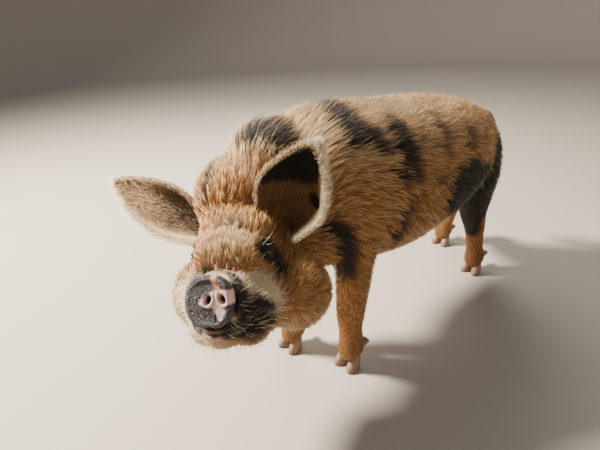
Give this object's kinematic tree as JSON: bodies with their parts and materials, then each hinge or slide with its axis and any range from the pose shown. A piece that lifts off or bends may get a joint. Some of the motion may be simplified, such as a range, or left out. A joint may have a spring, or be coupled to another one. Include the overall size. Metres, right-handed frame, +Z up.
{
  "type": "kunekune pig model",
  "caption": "Life-size standing kunekune pig, ginger with black patches, head turned to its left and lifted, bristly coat.",
  "frame": {"origin": "middle of the whole box on the floor, under the trunk", "axes": "+Z up, the pig's body faces -Y, its left side is +X"},
  "size_m": [0.4221, 1.2766, 0.6506],
  "materials": {
    "body_coat": "matte bristle",
    "head_coat": "matte bristle",
    "leg_coat": "short hair",
    "ear_coat": "short hair over skin",
    "snout_skin": "moist bare skin",
    "hoof_horn": "worn horn",
    "eye": "wet gloss"
  },
  "bodies": {
    "root": {"torso": "body_coat", "neck": "body_coat", "head": "head_coat", "snout": "snout_skin", "ear_left": "ear_coat", "eye_left": "eye", "ear_right": "ear_coat", "eye_right": "eye", "tail": "body_coat", "leg_front_left": "leg_coat", "hoof_front_left_left": "hoof_horn", "dewclaw_front_left_left": "hoof_horn", "hoof_front_left_right": "hoof_horn", "dewclaw_front_left_right": "hoof_horn", "leg_front_right": "leg_coat", "hoof_front_right_left": "hoof_horn", "dewclaw_front_right_left": "hoof_horn", "hoof_front_right_right": "hoof_horn", "dewclaw_front_right_right": "hoof_horn", "leg_hind_left": "leg_coat", "hoof_hind_left_left": "hoof_horn", "dewclaw_hind_left_left": "hoof_horn", "hoof_hind_left_right": "hoof_horn", "dewclaw_hind_left_right": "hoof_horn", "leg_hind_right": "leg_coat", "hoof_hind_right_left": "hoof_horn", "dewclaw_hind_right_left": "hoof_horn", "hoof_hind_right_right": "hoof_horn", "dewclaw_hind_right_right": "hoof_horn"}
  },
  "joints": []
}
